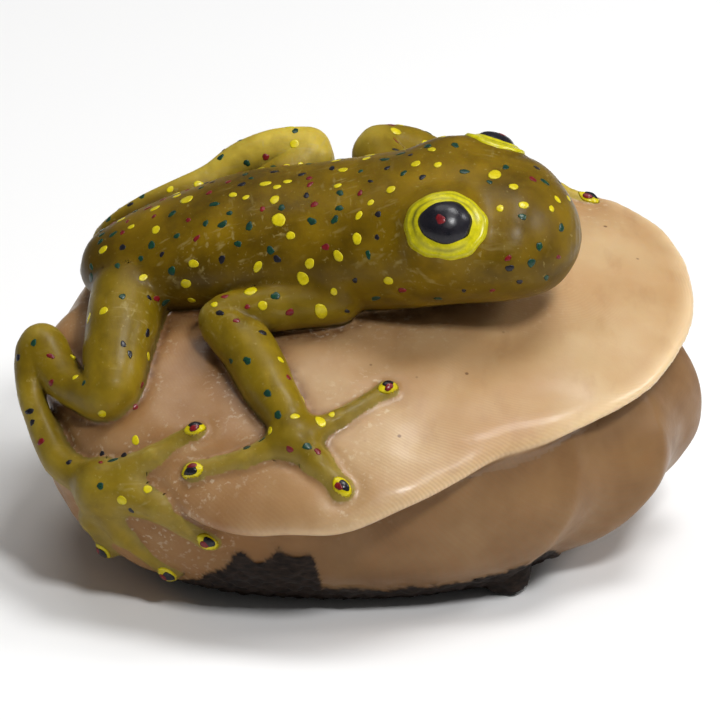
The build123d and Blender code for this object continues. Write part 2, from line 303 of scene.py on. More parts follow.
def nut_fields():
    """Over the whole grid: the distances of the nut, its outer wall and its domed top, how deep the top's
    own piece goes, and how far inside the seed coat's edge each point is."""
    flat_x, flat_y = X[:, :, 0] + 0 * Y[:, :, 0], Y[:, :, 0] + 0 * X[:, :, 0]
    angle = np.degrees(np.arctan2(flat_y, flat_x))
    out = np.hypot(flat_x, flat_y)
    c, s = np.abs(flat_x) / np.maximum(out, 0.1), np.abs(flat_y) / np.maximum(out, 0.1)
    square = by_angle(angle, BODY_SQUARENESS)
    side = np.empty(COUNT, np.float32)
    for k, z in enumerate(AXES[2]):
        level = max(float(z), 0.0)
        right, left, front, back = (float(curve(np.array([level]), BODY_LEVELS[:, 0], reach)[0])
                                    for reach in BODY_LEVELS.T[1:])
        reach_x, reach_y = np.where(flat_x > 0, right, left), np.where(flat_y > 0, back, front)
        radius = ((c / reach_x) ** square + (s / reach_y) ** square) ** (-1 / square)
        side[:, :, k] = out - radius + flute(angle - RIDGE_LEAN * (level - RIDGE_LEVEL))
    rim = (out - curve(angle % 360, CAP_OUTLINE[:, 0], CAP_OUTLINE[:, 1]))[:, :, None]
    top = ball(X, Y, Z, DOME_CENTRE, DOME_RADIUS)
    top += 0.10 * waves(X, Y, 0.6 * Z, 9.0, 3, 2)
    lip, roll = (by_angle(angle, LIP, i)[:, :, None] for i in (1, 2))
    below = -top - lip
    cap = soft_max(rim, below + LIP_WEDGE * np.clip(rim, -4.0, 0.0), LIP_EDGE)
    coat = coat_edge(X, Y, Z)
    side -= COAT_RISE * step_between(coat, -0.25, 0.15)
    undercut = by_angle(angle, UNDERCUT)[:, :, None]
    side += undercut * np.exp(-(((below - UNDERCUT_LEVEL) / UNDERCUT_WIDTH) ** 2))
    wall = soft_min(cap, side, LIP_TO_SIDE)
    wall = soft_min(wall, ball(X, Y, Z, COAT_KNOB[:3], COAT_KNOB[3]), KNOB_BLEND)
    nut = soft_max(wall, top, roll)
    nut = soft_max(nut, -Z + 0 * nut, FOOT_EDGE)
    cap_depth = CAP_DEPTH + CAP_ROLL_SHARE * roll
    return nut.astype(np.float32), wall.astype(np.float32), top.astype(np.float32), cap_depth, coat


# ------------ the frog
centres = np.array([station[0] for station in SPINE])
HEADING = Vector(centres[7] - centres[2]).normalized()
SIDE = Vector((0, 0, 1)).cross(HEADING).normalized()
SIDE = (SIDE * cos(radians(ROLL)) + HEADING.cross(SIDE) * sin(radians(ROLL))).normalized()
UP = HEADING.cross(SIDE).normalized()
ALONG = centres @ np.array(HEADING)


def torso_distance(x, y, z):
    """The distance to the frog's trunk and head: ellipses along the spine, closed at both ends."""
    s = x * HEADING[0] + y * HEADING[1] + z * HEADING[2]
    across = x * SIDE[0] + y * SIDE[1] + z * SIDE[2]
    above = x * UP[0] + y * UP[1] + z * UP[2]
    table = np.linspace(ALONG[0], ALONG[-1], 300)
    line = [curve(table, ALONG, centres @ np.array(way)) for way in (SIDE, UP)]
    square = [curve(table, ALONG, np.array([station[i] for station in SPINE]) ** 2) for i in (1, 2)]
    inside = np.clip(s, ALONG[0], ALONG[-1])
    a = across - np.interp(inside, table, line[0])
    b = above - np.interp(inside, table, line[1])
    width2 = np.maximum(np.interp(inside, table, square[0]), 0.2)
    height2 = np.maximum(np.interp(inside, table, square[1]), 0.2)
    a2, b2 = a * a + 1e-3, b * b
    reach = np.sqrt(a2 / width2 + b2 / height2)
    slope = np.sqrt(a2 / width2 ** 2 + b2 / height2 ** 2)
    radial = reach * (reach - 1) / slope
    beyond = np.abs(s - inside)
    return np.where(beyond > 0, np.hypot(np.maximum(radial, 0), beyond), radial)


def even_out(field):
    """Divides a rough distance by its own slope, so that it grows by about 1 mm per mm."""
    slopes = np.gradient(field, STEP)
    return field / np.clip(np.sqrt(sum(g * g for g in slopes)), 0.6, 4.0)


def smooth_line(stations):
    """More stations, on a smooth curve through the given ones."""
    stations = np.array(stations)
    far = np.cumsum([0.0, *np.linalg.norm(np.diff(stations[:, :3], axis=0), axis=1)])
    steps = [np.linspace(a, b, 4, endpoint=False) for a, b in zip(far, far[1:])]
    place = np.concatenate([*steps, far[-1:]])
    return np.stack([curve(place, far, stations[:, i]) for i in range(4)], 1)


def leg_distance(x, y, z, leg):
    """One leg: a smooth tube through its stations, the toes with their pads, and the muscles and webs."""
    stations = smooth_line(LEGS[leg])
    total = FAR
    for start, end in zip(stations, stations[1:]):
        total = np.minimum(total, rod(x, y, z, start, end))
    root = LEGS[leg][-1]
    for middle, tip in TOES[leg]:
        total = soft_min(total, rod(x, y, z, root, middle), PALM_BLEND)
        total = soft_min(total, rod(x, y, z, middle, tip), TOE_BLEND)
        total = soft_min(total, ball(x, y, z, tip[:3], tip[3] + PAD), PAD_BLEND)
    for start, end, blend in LEG_DETAILS.get(leg, []):
        total = soft_min(total, rod(x, y, z, start, end), blend)
    return total




def sculpt():
    """The whole carving's distance, the piece that owns each grid point, and the distances for colours."""
    nut, wall, top, cap_depth, coat = nut_fields()
    nearest, frog, torso = (np.full(COUNT, FAR, np.float32) for _ in range(3))
    owner = np.zeros(COUNT, np.int8)
    block = around(centres, 10.5)
    x, y, z = X[block[0]], Y[:, block[1]], Z[:, :, block[2]]
    trunk = even_out(torso_distance(x, y, z))
    trunk = soft_min(trunk, rod(x, y, z, *BROW), BROW_BLEND)
    for centre, *_ in EYES.values():
        trunk = soft_min(trunk, ball(x, y, z, centre, EYEBALL_RADIUS), EYE_BLEND)
    for field in (nearest, frog, torso):
        field[block] = trunk
    owner[block] = LABEL["torso"]
    for leg, stations in LEGS.items():
        toes = [station for toe in TOES[leg] for station in toe]
        block = around([s[:3] for s in stations + toes], 7.0)
        x, y, z = X[block[0]], Y[:, block[1]], Z[:, :, block[2]]
        d = leg_distance(x, y, z, leg).astype(np.float32)
        closer = d < nearest[block]
        owner[block] = np.where(closer, LABEL[leg], owner[block])
        nearest[block] = np.minimum(nearest[block], d)
        frog[block] = soft_min(frog[block], d, LEG_BLEND)
    nut += FURROW_DEPTH * np.exp(-((np.maximum(nearest, 0) / FURROW_WIDTH) ** 2))
    whole = soft_min(nut, frog, NUT_BLEND)
    is_cap = top > -cap_depth
    is_coat = (coat > 0) & (wall > -COAT_DEPTH)
    nut_owner = np.where(is_cap, LABEL["nut_cap"], np.where(is_coat, LABEL["seed_coat"], LABEL["nut_body"]))
    owner = np.where(nearest < nut, owner, nut_owner).astype(np.int8)
    owner[whole >= 0] = 0
    owner = np.pad(owner[1:-1, 1:-1, 1:-1], 1)
    return {"whole": whole, "owner": owner, "nut": nut, "frog": nearest,
            "torso": torso, "coat": coat, "top": top}


# ------------ from the grid to meshes
CORNERS = np.array([(i, j, k) for i in (0, 1) for j in (0, 1) for k in (0, 1)])
EDGES = [(a, b) for a in range(8) for b in range(a + 1, 8) if np.abs(CORNERS[a] - CORNERS[b]).sum() == 1]


def read(field, points):
    """A grid's values at some points, in between its grid points."""
    place = (points - LOW) / STEP
    cell = np.clip(np.floor(place).astype(int), 0, COUNT - 2)
    t = place - cell
    total = 0.0
    for corner in CORNERS:
        i, j, k = (cell + corner).T
        share = np.prod(np.where(corner, t, 1 - t), axis=1)
        total = total + field[i, j, k] * share
    return total


def slope_at(field, points):
    """A grid's slope at some points, in mm per mm."""
    ways = np.eye(3) * STEP * 0.6
    return np.stack([read(field, points + w) - read(field, points - w) for w in ways], 1) / (1.2 * STEP)


def surface_net(field, owner):
    """Points on the carving's surface and on the walls between its pieces, and each piece's closed quads."""
    shape = np.array(owner.shape) - 1
    corner_view = [owner[i:i + shape[0], j:j + shape[1], k:k + shape[2]] for i, j, k in CORNERS]
    active = np.minimum.reduce(corner_view) != np.maximum.reduce(corner_view)
    number = np.full(active.shape, -1, np.int64)
    cells = np.argwhere(active)
    number[active] = np.arange(len(cells))
    values = np.stack([field[tuple((cells + c).T)] for c in CORNERS], 1)
    owners = np.stack([owner[tuple((cells + c).T)] for c in CORNERS], 1)
    air_sum, air_count = np.zeros((len(cells), 3)), np.zeros(len(cells))
    wall_sum, wall_count = np.zeros((len(cells), 3)), np.zeros(len(cells))
    for a, b in EDGES:
        fa, fb = values[:, a], values[:, b]
        crosses = (owners[:, a] == 0) != (owners[:, b] == 0)
        t = np.clip(np.where(crosses, fa / np.where(fa == fb, 1, fa - fb), 0.5), 0, 1)
        at = CORNERS[a] + t[:, None] * (CORNERS[b] - CORNERS[a])
        air_sum += at * crosses[:, None]
        air_count += crosses
        differs = (owners[:, a] != owners[:, b]) & ~crosses
        wall_sum += at * differs[:, None]
        wall_count += differs
    on_surface = air_count > 0
    offset = np.where(on_surface[:, None], air_sum / np.maximum(air_count, 1)[:, None],
                      wall_sum / np.maximum(wall_count, 1)[:, None])
    points = LOW + STEP * (cells + offset)
    quads = {label: [] for label in LABEL.values()}
    outer = []
    for axis in range(3):
        u, v = (axis + 1) % 3, (axis + 2) % 3
        low = [slice(1, -1)] * 3
        low[axis] = slice(0, -1)
        high = [slice(1, -1)] * 3
        high[axis] = slice(1, None)
        here, there = owner[tuple(low)], owner[tuple(high)]
        changes = np.argwhere(here != there)
        first, second = here[tuple(changes.T)], there[tuple(changes.T)]
        ring = []
        for du, dv in ((0, 0), (1, 0), (1, 1), (0, 1)):
            cell = changes.copy()
            cell[:, u] += du
            cell[:, v] += dv
            ring.append(number[tuple(cell.T)])
        ring = np.stack(ring, 1)
        for label in LABEL.values():
            quads[label].append(ring[first == label])
            quads[label].append(ring[second == label][:, ::-1])
        outer.append(ring[second == 0])
        outer.append(ring[first == 0][:, ::-1])
    quads = {label: np.concatenate(lists) for label, lists in quads.items()}
    return points, quads, np.concatenate(outer), on_surface


def point_normals(points, quads):
    """Each point's normal, from the faces round it."""
    a, b, c, d = (points[quads[:, i]] for i in range(4))
    face = np.cross(c - a, d - b)
    total = np.zeros_like(points)
    for i in range(4):
        np.add.at(total, quads[:, i], face)
    return total / np.maximum(np.linalg.norm(total, axis=1), 1e-9)[:, None]


def solidity(whole, reach):
    """The share of solid in a box round each grid point: more than a half in a hollow, less on an edge."""
    share = (whole < 0).astype(np.float32)
    n = int(round(reach / STEP))
    for axis in range(3):
        around_it = [(n + 1, n) if a == axis else (0, 0) for a in range(3)]
        total = np.cumsum(np.pad(share, around_it, mode="edge"), axis, dtype=np.float32)
        size = share.shape[axis]
        upper = np.take(total, range(2 * n + 1, 2 * n + 1 + size), axis)
        lower = np.take(total, range(0, size), axis)
        share = (upper - lower) / (2 * n + 1)
    return share


def new_mesh(name, points, faces, normals=None, values=None):
    """A smooth-shaded mesh in metres, with any values stored on its points, as an object in the scene."""
    mesh = bpy.data.meshes.new(name)
    faces = [list(map(int, f)) for f in faces]
    mesh.from_pydata((np.array([tuple(p) for p in points]) * MM).tolist(), [], faces)
    mesh.polygons.foreach_set("use_smooth", [True] * len(mesh.polygons))
    for key, numbers in (values or {}).items():
        layer = mesh.attributes.new(key, "FLOAT", "POINT")
        layer.data.foreach_set("value", np.asarray(numbers, np.float32))
    mesh.update()
    if normals is not None:
        mesh.normals_split_custom_set_from_vertices([tuple(n) for n in normals])
    piece = bpy.data.objects.new(name, mesh)
    bpy.context.scene.collection.objects.link(piece)
    return piece


def carve():
    """Makes the carving's pieces. Returns their outer surface and the nut's distance, for the paint."""
    fields = sculpt()
    whole, nut, frog = fields["whole"], fields["nut"], fields["frog"]
    points, quads, outer, on_surface = surface_net(whole, fields["owner"])
    for _ in range(2):
        some = points[on_surface]
        slope = slope_at(whole, some)
        square = np.maximum((slope ** 2).sum(1), 0.2)
        move = -(read(whole, some) / square)[:, None] * slope
        points[on_surface] = some + np.clip(move, -0.15, 0.15)
    points[:, 2] = np.maximum(points[:, 2], 0.0)
    normals = point_normals(points, outer)
    x, y, z = points.T
    seam = read(nut, points) - read(frog, points)
    past_torso = np.clip(read(fields["torso"], points) - read(frog, points), 0, 4)
    coat = read(fields["coat"], points)
    hollow = 0.6 * read(solidity(whole, 0.9), points) + 0.4 * read(solidity(whole, 2.2), points) - 0.5
    on_frog = step_between(seam, -0.15, 0.15)
    tool_marks = 0.05 * waves(x, y, z, 6.5, 21, 2)
    bark = 0.13 * waves(x, y, 1.6 * z, 1.5, 23, 3) * step_between(coat, 0.0, 0.5)
    above_floor = step_between(z, 0.05, 0.8)
    under_lip = -read(fields["top"], points) - by_angle(np.degrees(np.arctan2(y, x)), LIP)
    far_legs = 0.9 * step_between(y, 8.0, 12.0) * step_between(-x, -4.0, 2.0)
    far_foot = step_between(y, 10.0, 13.0) * step_between(x, 10.0, 14.0)
    push = (tool_marks + bark) * above_floor * on_surface
    points = points + normals * push[:, None]
    points[:, 2] = np.maximum(points[:, 2], 0.0)
    normals = point_normals(points, outer)
    values = {
        "dye": on_frog,
        "skirt": 1 - step_between(seam, 0.1, 1.1),
        "limb": step_between(past_torso, 0.15, 1.6),
        "coat": step_between(coat, -0.12, 0.12),
        "hollow": hollow,
        "near_frog": np.exp(-np.maximum(-seam, 0) / 2.2),
        "thin_dye": far_legs + far_foot + 0.12 * step_between(-z, -18.5, -15.0),
        # Where painted shade darkens the nut's side wall below the lip, fading out towards the rear end.
        "side": step_between(under_lip, -0.1, 0.8) * step_between(x, -19.0, -8.0),
    }
    for name, label in LABEL.items():
        used, faces = np.unique(quads[label], return_inverse=True)
        faces = faces.reshape(-1, 4)
        piece = new_mesh(name, points[used], faces, normals[used], {k: v[used] for k, v in values.items()})
        slot, look = FINISHES.get(name, ("green_dye", "dyed_nut"))
        piece.data.materials.append(carving_material(look))
        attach(piece, "root")
        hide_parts(name)
    return points, outer, nut


# ------------ materials
NUT_TAN, NUT_PALE, NUT_BROWN = (0.44, 0.26, 0.117), (0.52, 0.36, 0.19), (0.25, 0.11, 0.04)
# The second and third colours here are painted shade: on the side wall under the lip, and on the nut's near
# side towards the frog's rear.
EDGE_CREAM, SIDE_SHADE_TAN, REAR_SHADE_BROWN = (0.72, 0.54, 0.32), (0.175, 0.092, 0.037), (0.23, 0.100, 0.028)
STAIN_BROWN, DIRT_BROWN, PORE_BROWN = (0.27, 0.125, 0.038), (0.13, 0.055, 0.018), (0.12, 0.05, 0.02)
# Whitish wax residue, also used as painted glints on the nut near the frog.
WAX_AND_GLINT_CREAM = (0.72, 0.62, 0.46)
TORSO_OLIVE, TORSO_DARK = (0.215, 0.128, 0.001), (0.085, 0.048, 0.0005)
LIMB_GREEN, LIMB_PALE = (0.135, 0.086, 0.002), (0.235, 0.155, 0.006)
SKIRT_BEIGE, FAR_YELLOW, WORN_YELLOW = (0.30, 0.215, 0.055), (0.55, 0.41, 0.05), (0.50, 0.40, 0.09)
SCUFF_TAN, FLECK_TAN = (0.36, 0.29, 0.11), (0.42, 0.34, 0.12)
STREAK_DARK, HOLLOW_DARK = (0.05, 0.03, 0.003), (0.05, 0.028, 0.004)
COAT_BLACK, COAT_BROWN = (0.008, 0.005, 0.004), (0.030, 0.018, 0.012)
RING_CENTRE = (15.0 * MM, 3.0 * MM, 21.0 * MM)  # the middle of the nut's growth lines
RING_SCALE = 1150.0  # growth lines about a quarter of a millimetre apart
# Each paint: its name and two close shades.
YELLOW = ("yellow_paint", (0.62, 0.52, 0.004), (0.50, 0.40, 0.004))
BLACK = ("black_paint", (0.006, 0.006, 0.010), (0.012, 0.010, 0.014))
RED = ("red_paint", (0.20, 0.008, 0.010), (0.12, 0.006, 0.010))
GREEN = ("green_paint", (0.006, 0.050, 0.022), (0.004, 0.028, 0.020))
RIM_YELLOW = ("rim_paint", (0.58, 0.52, 0.004), (0.42, 0.38, 0.004))
STROKE_OLIVE = (0.13, 0.12, 0.006)  # what shows between the brush strokes of an eye's rim
# The slot and the material of the carving's pieces that aren't frog.
FINISHES = {
    "nut_body": ("nut", "coated_nut"),
    "nut_cap": ("nut", "carved_nut"),
    "seed_coat": ("seed_coat", "seed_coat"),
}


def shader(name, **finish):
    """A new material, its node tree and its shader, with any finish set on the shader's own sockets."""
    material = bpy.data.materials.new(name)
    material.use_nodes = True
    bsdf = material.node_tree.nodes["Principled BSDF"]
    for key, value in finish.items():
        bsdf.inputs[key.replace("_", " ")].default_value = value
    return material, material.node_tree, bsdf


class Graph:
    """Short calls for a material's nodes. A value is a number, a colour or another node's output."""

    def __init__(self, tree):
        self.tree = tree
        self.position = tree.nodes.new("ShaderNodeTexCoord").outputs["Object"]

    def link(self, value, socket):
        if hasattr(value, "is_linked"):
            self.tree.links.new(value, socket)
        else:
            socket.default_value = value

    def node(self, kind, inputs, **settings):
        """A new node: its settings first, and then its inputs by name or number."""
        node = self.tree.nodes.new("ShaderNode" + kind)
        for key, value in settings.items():
            setattr(node, key, value)
        for key, value in inputs.items():
            self.link(value, node.inputs[key])
        return node

    def attribute(self, name):
        return self.node("Attribute", {}, attribute_name=name).outputs["Fac"]

    def times(self, a, b):
        return self.node("Math", {0: a, 1: b}, operation="MULTIPLY").outputs[0]

    def plus(self, a, b, clamp=False):
        return self.node("Math", {0: a, 1: b}, operation="ADD", use_clamp=clamp).outputs[0]

    def scaled(self, by):
        return self.node("Mapping", {"Vector": self.position, "Scale": by}).outputs[0]

    def noise(self, size_mm, detail, stretch=(1, 1, 1)):
        place = self.scaled([s / (size_mm * MM) for s in stretch])
        inputs = {"Vector": place, "Scale": 1.0, "Detail": detail, "Roughness": 0.55}
        return self.node("TexNoise", inputs).outputs["Fac"]

    def cells(self, size_mm):
        place = self.scaled([1 / (size_mm * MM)] * 3)
        return self.node("TexVoronoi", {"Vector": place, "Scale": 1.0}).outputs["Distance"]

    def ramp(self, value, low, high, start=0.0, end=1.0):
        """From start to end as the value goes from low to high."""
        inputs = {"Value": value, "From Min": low, "From Max": high, "To Min": start, "To Max": end}
        return self.node("MapRange", inputs).outputs[0]

    def patches(self, size_mm, detail, low, high, start=0.0, end=1.0, stretch=(1, 1, 1)):
        """Noise whose values from low to high are spread out from start to end."""
        return self.ramp(self.noise(size_mm, detail, stretch), low, high, start, end)

    def mix(self, share, a, b):
        """Colour a where the share is 0, and colour b where it is 1."""
        a, b = ((*colour, 1.0) if isinstance(colour, tuple) else colour for colour in (a, b))
        return self.node("Mix", {"Factor": share, "A": a, "B": b}, data_type="RGBA").outputs["Result"]

    def layers(self, colour, *layers):
        """A colour with others laid over it, each by its own share."""
        for share, over in layers:
            colour = self.mix(share, colour, over)
        return colour

    def bump(self, height, distance_mm, strength, **under):
        inputs = {"Strength": strength, "Distance": distance_mm * MM, "Height": height, **under}
        return self.node("Bump", inputs).outputs[0]


def nut_colour(g):
    """Tan nut, paler on thin edges, browner in hollows, with faint growth lines and pores; painted shade on
    the side wall under the lip and on the near side towards the frog's rear; whitish wax near the frog that
    also paints glints.
    """
    hollow, near_frog = g.attribute("hollow"), g.attribute("near_frog")
    place = g.node("SeparateXYZ", {0: g.position}).outputs
    # Painted shade on the side wall below the lip, slightly patchy.
    side = g.times(g.attribute("side"), g.patches(6, 3, 0.3, 0.7, 0.75, 1.0))
    # Painted shade on the nut's near side towards the frog's rear, where the frog shades it; patchy.
    rear_shade = g.times(g.ramp(place["X"], -1.0 * MM, -12.0 * MM), g.ramp(place["Y"], 5.0 * MM, -2.0 * MM))
    rear_shade = g.times(rear_shade, g.patches(4, 4, 0.25, 0.75, 0.405, 0.9))
    away = g.node("VectorMath", {0: g.position, 1: RING_CENTRE}, operation="SUBTRACT").outputs[0]
    inputs = {"Vector": away, "Scale": RING_SCALE, "Distortion": 2.5, "Detail": 2.0, "Detail Scale": 0.6}
    lines = g.node("TexWave", inputs, wave_type="RINGS", rings_direction="SPHERICAL").outputs["Fac"]
    lines = g.times(lines, g.patches(16, 2, 0.42, 0.62, 0.0, 0.2))
    streaks = g.patches(2.2, 4, 0.56, 0.8, 0.0, 0.3, (1, 0.35, 1))
    pores = g.times(g.ramp(g.cells(2.3), 0.09, 0.05), g.patches(5, 2, 0.50, 0.56, 0.0, 0.8))
    stain = g.times(near_frog, g.patches(2.4, 4, 0.3, 0.7, 0.2625, 0.75))
    dirt = g.times(g.ramp(hollow, 0.03, 0.16), g.patches(1.1, 4, 0.35, 0.65, 0.24, 0.8))
    # Whitish wax residue near the frog, which also stands for painted glints.
    wax_and_glints = g.times(g.ramp(near_frog, 0.06, 0.6), g.patches(0.5, 3, 0.56, 0.68))
    wax_and_glints = g.times(wax_and_glints, g.patches(6, 2, 0.42, 0.58, 0.0, 0.35))
    return g.layers(
        g.mix(g.patches(11, 4, 0.35, 0.68), NUT_TAN, NUT_PALE),
        (g.ramp(hollow, -0.05, -0.22, 0.0, 0.8), EDGE_CREAM),
        (side, SIDE_SHADE_TAN),
        (rear_shade, REAR_SHADE_BROWN),
        (lines, NUT_BROWN),
        (streaks, NUT_BROWN),
        (pores, PORE_BROWN),
        (stain, STAIN_BROWN),
        (dirt, DIRT_BROWN),
        (wax_and_glints, WAX_AND_GLINT_CREAM),
    )


def dye_colour(g):
    """Olive dye on the torso, yellower on the limbs, where the pale nut shows through on edges and toes."""
    hollow, limb = g.attribute("hollow"), g.attribute("limb")
    torso = g.mix(g.patches(6, 4, 0.35, 0.7), TORSO_DARK, TORSO_OLIVE)
    green = g.layers(
        g.mix(g.patches(4, 4, 0.3, 0.7), LIMB_GREEN, LIMB_PALE),
        (g.times(g.attribute("thin_dye"), g.patches(3, 4, 0.3, 0.6, 0.5, 1.0)), FAR_YELLOW),
        (g.times(g.attribute("skirt"), g.patches(2.5, 4, 0.3, 0.65, 0.2, 0.9)), SKIRT_BEIGE),
    )
    worn = g.times(g.ramp(hollow, -0.12, -0.30, 0.0, 0.8), g.ramp(limb, 0.0, 1.0, 0.35, 1.0))
    scuffed = g.patches(9, 3, 0.48, 0.62)
    scuffs = [(g.times(g.patches(0.5, 2, 0.60, 0.72, 0.0, 0.4, stretch), scuffed), SCUFF_TAN)
              for stretch in ((1.0, 0.12, 1.0), (0.15, 1.0, 0.5))]
    return g.layers(
        g.mix(limb, torso, green),
        (worn, WORN_YELLOW),
        (g.patches(1.6, 5, 0.5, 0.75, 0.0, 0.35, (1, 0.4, 1)), STREAK_DARK),
        *scuffs,
        (g.patches(0.45, 3, 0.66, 0.74, 0.0, 0.35), FLECK_TAN),
        (g.ramp(hollow, 0.04, 0.20, 0.0, 0.75), HOLLOW_DARK),
    )


@cache
def carving_material(name):
    """The nut, its dye and its seed coat, each where the piece's values say. The top is polished and bare."""
    polished = name == "carved_nut"
    material, tree, bsdf = shader(
        name,
        Subsurface_Weight=0.0 if name == "seed_coat" else 0.22,
        Subsurface_Radius=(1.0, 0.55, 0.22),
        Subsurface_Scale=1.6 * MM,
        Coat_Weight={"seed_coat": 0.03, "carved_nut": 0.22}.get(name, 0.06),
        Coat_Roughness=0.18 if polished else 0.25,
        Coat_IOR=1.45,
        Specular_IOR_Level=0.32 if polished else 0.14,
    )
    g = Graph(tree)
    dye = g.plus(g.attribute("dye"), g.patches(0.8, 3, 0.3, 0.7, -0.25, 0.25), clamp=True)
    colour = g.mix(g.ramp(dye, 0.3, 0.7), nut_colour(g), dye_colour(g))
    fine = g.noise(0.35, 4)
    rough = g.patches(3.0, 4, 0.3, 0.7, 0.30, 0.52)
    if not polished:
        coat = g.attribute("coat")
        bark = g.mix(g.patches(0.7, 5, 0.35, 0.7, stretch=(1, 1, 2.2)), COAT_BLACK, COAT_BROWN)
        colour = g.mix(coat, colour, bark)
        rough = g.plus(rough, g.times(coat, 0.25))
        fine = g.plus(fine, g.times(g.times(g.noise(0.6, 5), coat), 4.0))
    scratches = g.bump(g.noise(1.2, 5, (1.0, 0.3, 1.0)), 0.05, 0.6)
    g.link(colour, bsdf.inputs["Base Color"])
    g.link(rough, bsdf.inputs["Roughness"])
    g.link(g.bump(fine, 0.02, 0.7, Normal=scratches), bsdf.inputs["Normal"])
    return material


@cache
def paint(kind):
    """Thick brushed enamel: two close shades, streaked, under a soft gloss."""
    name, colour, other = kind
    material, tree, bsdf = shader(name, Coat_Weight=0.10, Coat_Roughness=0.18, Specular_IOR_Level=0.3)
    g = Graph(tree)
    shade = g.mix(g.patches(0.5, 4, 0.35, 0.65), colour, other)
    if kind is RIM_YELLOW:
        shade = g.mix(g.attribute("stroke"), shade, STROKE_OLIVE)
    g.link(shade, bsdf.inputs["Base Color"])
    g.link(g.patches(0.8, 3, 0.3, 0.7, 0.20, 0.40), bsdf.inputs["Roughness"])
    g.link(g.bump(g.noise(0.3, 3), 0.02, 0.6), bsdf.inputs["Normal"])
    return material


# ------------ paint films
# A dab's profile: the share of its radius and of its height.
DAB_PROFILE = [(0.0, 1.0), (0.5, 0.9), (0.82, 0.55), (1.0, 0.08)]
DAB_ROOT = 0.25  # how far a dab reaches into the carving, so that it is closed
RING_SEGMENTS, RING_STEPS = 128, 16
RING_HEIGHT, BEAD_HEIGHT = 0.09, 0.09
BEAD_PLACE, BEAD_WIDTH = 0.84, 0.08  # the raised bead near the ring's outer edge
PUPIL_SEGMENTS, PUPIL_RINGS = 64, 10
PUPIL_RISE, PUPIL_EDGE, PUPIL_ROOT = 0.40, 0.05, 1.6
# Each stroke on a toe tip: paint, name ending, place along and across the toe, radius, stretch, wobble,
# seed, height and lift.
TOE_MARKS = [
    (YELLOW, "", 0.0, 0.0, 0.84, 1.16, 0.04, 40, 0.09, 0.0),
    (BLACK, "_black", 0.12, 0.16, 0.46, 1.3, 0.07, 50, 0.04, 0.10),
    (RED, "_red", -0.10, -0.26, 0.34, 1.25, 0.07, 60, 0.04, 0.11),
]
# Each kind of spot: the share of all spots up to and with it, its paint, and its smallest and largest radius.
SPOT_KINDS = [
    (0.38, YELLOW, 0.30, 0.46),
    (0.66, GREEN, 0.24, 0.40),
    (0.84, RED, 0.22, 0.36),
    (1.00, BLACK, 0.22, 0.36),
]
SPOT_HEIGHT = 0.045
SPOT_GAP = 0.25  # the least bare dye between two spots


def flat_ways(normal):
    """Two directions at right angles to a normal and to each other."""
    first = normal.cross(Vector((0, 0, 1)) if abs(normal.z) < 0.9 else Vector((1, 0, 0))).normalized()
    return first, normal.cross(first)


class Film:
    """A group of thin closed paint films of one colour, laid on the carving."""

    def __init__(self, surface):
        self.surface = surface
        self.points, self.faces, self.strokes = [], [], []

    def hit(self, point, down, reach=4.0):
        """Where a line through the point meets the carving, if it does so within half the reach of it."""
        return self.surface.ray_cast(Vector(point) - down * reach / 2, down, reach)[0]

    def dab(self, centre, normal, radius, stretch=1.0, turn=0.0, wobble=0.12, seed=0, height=0.09, lift=0.0,
            sides=16, forced=False):
        """One brush dab: a rounded blob with a wavy edge, thickest in the middle. Where the carving falls
        away under its edge, a forced dab wraps down over it. Any other isn't made, and returns False."""
        normal = Vector(normal).normalized()
        first, second = flat_ways(normal)
        phases = np.random.RandomState(seed).uniform(0, 2 * pi, 3)
        middle = None
        points = []
        for share, rise in DAB_PROFILE:
            for i in range(sides if share else 1):
                t = 2 * pi * i / sides
                ripple = sin(2 * t + phases[0]) + 0.7 * sin(3 * t + phases[1]) + 0.5 * sin(5 * t + phases[2])
                a, b = cos(t) * stretch, sin(t) / stretch
                out = first * (cos(turn) * a - sin(turn) * b) + second * (sin(turn) * a + cos(turn) * b)
                place = Vector(centre) + out * radius * (1 + wobble * ripple) * share
                found = self.hit(place, -normal)
                middle = middle or found
                if found is None or abs((found - middle).dot(normal)) > 0.25 + 0.55 * radius:
                    if not forced or middle is None:
                        return False
                    found = place - normal * ((place - middle).dot(normal) + 0.25 + 0.45 * radius)
                points.append(found + normal * (lift + height * rise))
        root = points[0] - normal * (height + DAB_ROOT)
        top = len(self.points)
        self.points += [*points, root]
        for i in range(sides):
            j = (i + 1) % sides
            self.faces.append((top, top + 1 + i, top + 1 + j))
            for low in (top + 1, top + 1 + sides):
                self.faces.append((low + i, low + sides + i, low + sides + j, low + j))
            edge = top + 1 + 2 * sides
            self.faces.append((edge + i, edge + sides, edge + j))
        self.strokes += [0.0] * (len(points) + 1)
        return True

    def build(self, name, kind, slot, nodes=()):
        """Makes the film's piece, which may stand for CAD nodes."""
        piece = new_mesh(name, self.points, self.faces, values={"stroke": self.strokes})
        piece.data.materials.append(paint(kind))
        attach(piece, "root")
        if nodes:
            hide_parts(*nodes)


def eye_frame(side):
    """An eye's centre, the way it looks, and the directions along and across its outline."""
    centre, looks = Vector(EYES[side][0]), Vector(EYES[side][1]).normalized()
    across = looks.cross(Vector((0, 0, 1))).normalized()
    return centre, looks, across, across.cross(looks).normalized()


